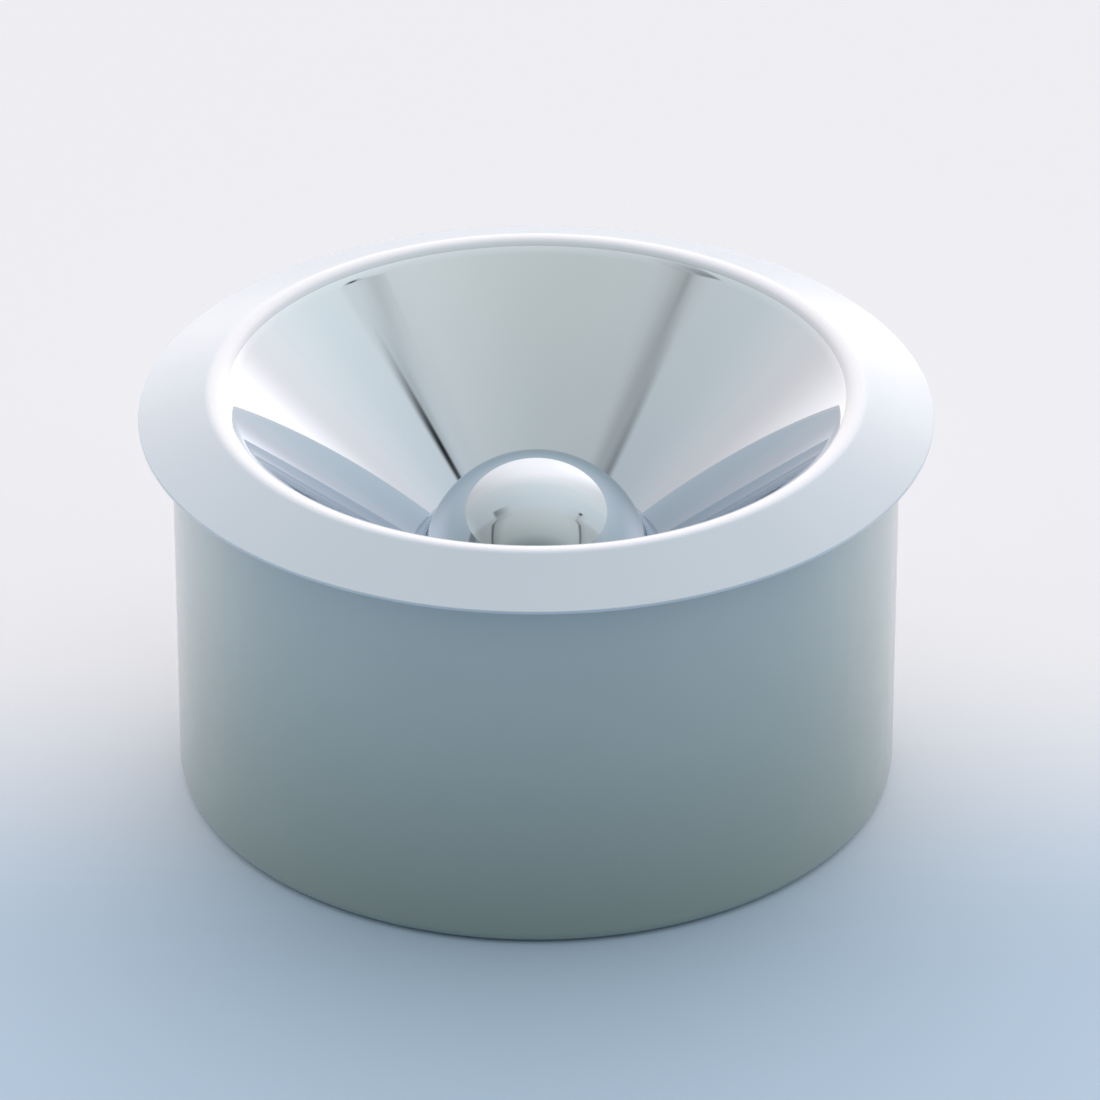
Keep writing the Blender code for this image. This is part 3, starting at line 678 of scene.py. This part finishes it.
# ---- build ----------------------------------------------------------------------------------
housing_can()
face_ring()
funnel()
foam_sleeve("gasket_ring", "flange_gasket", 79.4 * MM, (0.3, 0.4, 0.2, 0.2))
foam_sleeve("liner_sleeve", "acoustic_liner", 72 * MM, (1.2, 0.6, 0.6, 1.2))
ball_cap()
ball_base()
throat_collar()
throat_seal()
tie_fasteners()
spindle()
washer("hub_washer", "spindle_washer", 4.3 * MM, 0.3 * MM)
spindle_nut()
thread_insert()

BEVEL_ANGLE = math.radians(35)   # edges sharper than this are bevelled
CARRIED = {          # how wide the bevel on each one's edges is, in mm
    CAST: {"spider": 0.5},
    ZINC: {f"hub_screw_{arm}": 0.15 for arm in ARMS},
    STEEL: {"stop_clip": 0.1, "detent_washer": 0.1, "wave_spring": 0.05, "spring_retainer": 0.1},
    PLASTIC: {"ball_hub": 0.25},
}
for (material, slot_name), bevels in CARRIED.items():
    for node_name, width in bevels.items():
        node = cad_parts[node_name]
        node.data.materials.clear()
        node.data.materials.append(material)
        edges = node.modifiers.new("edges", "BEVEL")
        edges.width = width * MM
        edges.segments = 3
        edges.limit_method = "ANGLE"
        edges.angle_limit = BEVEL_ANGLE
        edges.harden_normals = True


# ---- studio ---------------------------------------------------------------------------------
def floor():
    """Pale sweep with painted shade, a little bluer and darker in front where less light falls, and a
    painted glow behind.
    """
    front, back = (0.59, 0.74, 0.93), (0.84, 0.85, 0.88)
    bm = bmesh.new()
    bmesh.ops.create_grid(bm, x_segments=1, y_segments=1, size=6)
    mesh = bpy.data.meshes.new("floor")
    bm.to_mesh(mesh)
    bm.free()
    ground = bpy.data.objects.new("floor", mesh)
    bpy.context.scene.collection.objects.link(ground)
    n = Nodes("floor_paper")
    split = n.add("SeparateXYZ", {0: n.place})
    # painted shade: the floor's colour darkens and turns bluer towards the front
    inputs = {"Value": split.outputs["Y"], "From Min": -90 * MM, "From Max": 50 * MM}
    fade = n.add("MapRange", inputs, interpolation_type="SMOOTHSTEP")
    colours = n.blend(fade.outputs[0], front, back)
    # painted glow: the back of the floor gives off light of its own, though it is no lamp
    glow = n.blend(fade.outputs[0], (0.0, 0.0, 0.0), (0.14, 0.13, 0.15))
    grain = n.bump(n.noise(900), 0.05 * MM, 0.2)
    mesh.materials.append(n.finish(
        Base_Color=colours, Roughness=0.7, Normal=grain, Emission_Color=glow, Emission_Strength=1.0,
    ))


SKY_STRENGTH = 1.8               # the brightest level in SKY
SKY = (              # how far a direction points to the back, -1 to 1, and its light there
    (-1.0, (0.06, 0.075, 0.08)), (-0.75, (0.20, 0.24, 0.235)), (-0.5, (0.62, 0.655, 0.625)),
    (-0.3, (0.77, 0.79, 0.76)), (-0.1, (0.855, 0.87, 0.855)), (0.0, (0.90, 0.93, 0.935)),
    (0.25, (0.975, 1.01, 1.015)), (0.45, (1.095, 1.09, 1.09)), (0.7, (1.57, 1.45, 1.44)),
    (1.0, (1.80, 1.66, 1.62)),
)


class SkyNodes:
    """Short ways to add maths nodes to the world."""

    def __init__(self, tree):
        self.tree = tree

    def put(self, socket, value):
        if isinstance(value, bpy.types.NodeSocket):
            self.tree.links.new(value, socket)
        else:
            socket.default_value = value

    def maths(self, operation, first, second=0.0):
        node = self.tree.nodes.new("ShaderNodeMath")
        node.operation = operation
        self.put(node.inputs[0], first)
        self.put(node.inputs[1], second)
        return node.outputs[0]

    def plus(self, first, second):
        return self.maths("ADD", first, second)

    def times(self, first, second):
        return self.maths("MULTIPLY", first, second)

    def scaled(self, value, factor, offset=0.0):
        return self.plus(self.times(value, factor), offset)

    def reverse(self, value):
        return self.maths("SUBTRACT", 1.0, value)

    def ramp(self, value, low, high):
        """Smooth step from 0 at low to 1 at high."""
        node = self.tree.nodes.new("ShaderNodeMapRange")
        node.interpolation_type = "SMOOTHSTEP"
        self.put(node.inputs["Value"], value)
        self.put(node.inputs["From Min"], low)
        self.put(node.inputs["From Max"], high)
        return node.outputs[0]


def borders(n, x, y, z):
    """How much the sky darkens along two borders, which the mirror's far wall and the ball show.

    For each direction, across and nearer say how far it leans to a side and to the front, as
    shares of its height.
    """
    height = n.maths("MAXIMUM", z, 0.04)
    across = n.maths("DIVIDE", n.maths("ABSOLUTE", x), height)
    nearer = n.maths("DIVIDE", n.times(y, -1.0), height)
    right = n.ramp(n.times(x, -1.0), -0.05, 0.05)    # 1 for the border that shows on the right
    close = n.ramp(nearer, 0.1, 0.2)                 # 1 for the part that only the ball reflects

    slant = n.times(nearer, n.scaled(right, 0.25, -0.45))
    far_border = n.plus(n.scaled(right, -0.045, 0.795), slant)
    near_border = n.scaled(nearer, 0.6, 0.76)
    border = n.plus(far_border, n.times(n.maths("SUBTRACT", near_border, far_border), close))
    gap = n.maths("SUBTRACT", across, border)
    beyond = n.ramp(gap, -0.02, 0.05)

    hard = n.scaled(n.reverse(n.ramp(nearer, -0.055, -0.025)), 0.65, 0.08)
    hard = n.plus(hard, n.scaled(n.reverse(n.ramp(nearer, -0.02, 0.04)), 0.12))
    hard = n.times(hard, n.reverse(right))
    line = n.reverse(n.ramp(n.maths("ABSOLUTE", gap), 0.0, 0.08))
    dark = n.times(line, n.plus(hard, n.scaled(close, 0.45)))

    fringe = n.times(n.ramp(gap, -0.03, 0.03), n.reverse(n.ramp(gap, 0.0, 0.3)))
    dark = n.plus(dark, n.times(fringe, n.scaled(n.reverse(right), 0.12)))
    dark = n.plus(dark, n.times(beyond, n.scaled(n.ramp(nearer, 0.0, 0.15), 0.14)))

    halo = n.times(n.ramp(gap, -0.4, 0.0), n.reverse(beyond))
    shade = n.times(right, n.scaled(n.reverse(n.ramp(nearer, 0.0, 0.09)), 0.25, 0.24))
    dark = n.plus(dark, n.times(halo, n.scaled(shade, 1.0, 0.06)))
    there = n.times(n.ramp(nearer, -0.13, -0.07), n.ramp(z, 0.1, 0.3))
    return n.times(dark, there)


def studio_light():
    """Soft light painted on the sky: white behind, blue grey overhead, dim behind the camera."""
    world = bpy.data.worlds.new("studio")
    bpy.context.scene.world = world
    world.use_nodes = True
    tree = world.node_tree
    n = SkyNodes(tree)
    split = tree.nodes.new("ShaderNodeSeparateXYZ")
    tree.links.new(tree.nodes.new("ShaderNodeTexCoord").outputs["Generated"], split.inputs[0])
    x, y, z = split.outputs

    bands = tree.nodes.new("ShaderNodeValToRGB")
    tree.links.new(n.scaled(y, 0.5, 0.5), bands.inputs["Fac"])
    stops = bands.color_ramp.elements
    while len(stops) < len(SKY):
        stops.new(0.5)
    for stop, (towards_back, colour) in zip(stops, SKY):
        stop.position = towards_back / 2 + 0.5
        stop.color = (*(c / SKY_STRENGTH for c in colour), 1)

    level = n.reverse(borders(n, x, y, z))
    level = n.times(level, n.scaled(x, 0.17, 1.0))                      # brighter to the right
    falloff = n.scaled(n.ramp(y, 0.4, 0.75), 0.55, 0.25)
    level = n.times(level, n.reverse(n.times(n.times(x, x), falloff)))  # dimmer to both sides
    far_left = n.ramp(n.times(x, -1.0), 0.8, 0.95)
    level = n.plus(level, n.times(far_left, 0.3))
    back_right = n.times(n.ramp(x, 0.05, 0.5), n.scaled(n.ramp(y, 0.6, 1.0), 0.42))
    level = n.plus(level, back_right)

    sky = tree.nodes.new("ShaderNodeVectorMath")
    sky.operation = "SCALE"
    tree.links.new(bands.outputs["Color"], sky.inputs[0])
    tree.links.new(level, sky.inputs["Scale"])
    background = tree.nodes["Background"]
    tree.links.new(sky.outputs[0], background.inputs["Color"])
    background.inputs["Strength"].default_value = SKY_STRENGTH


def camera():
    """30 degrees above the floor, with a long lens."""
    aside, aim, distance, elevation = 3 * MM, 51.8 * MM, 1.703, math.radians(30.06)
    lens = bpy.data.cameras.new("camera")
    lens.lens = 254.5
    lens.sensor_width = 36
    lens.clip_end = 100
    seat = bpy.data.objects.new("camera", lens)
    bpy.context.scene.collection.objects.link(seat)
    seat.location = (aside, -distance * math.cos(elevation), aim + distance * math.sin(elevation))
    seat.rotation_euler = (math.pi / 2 - elevation, 0, 0)
    bpy.context.scene.camera = seat


floor()
studio_light()
camera()
bpy.context.scene.view_settings.view_transform = "Standard"
bpy.context.scene.cycles.glossy_bounces = 12    # the mirrors see each other
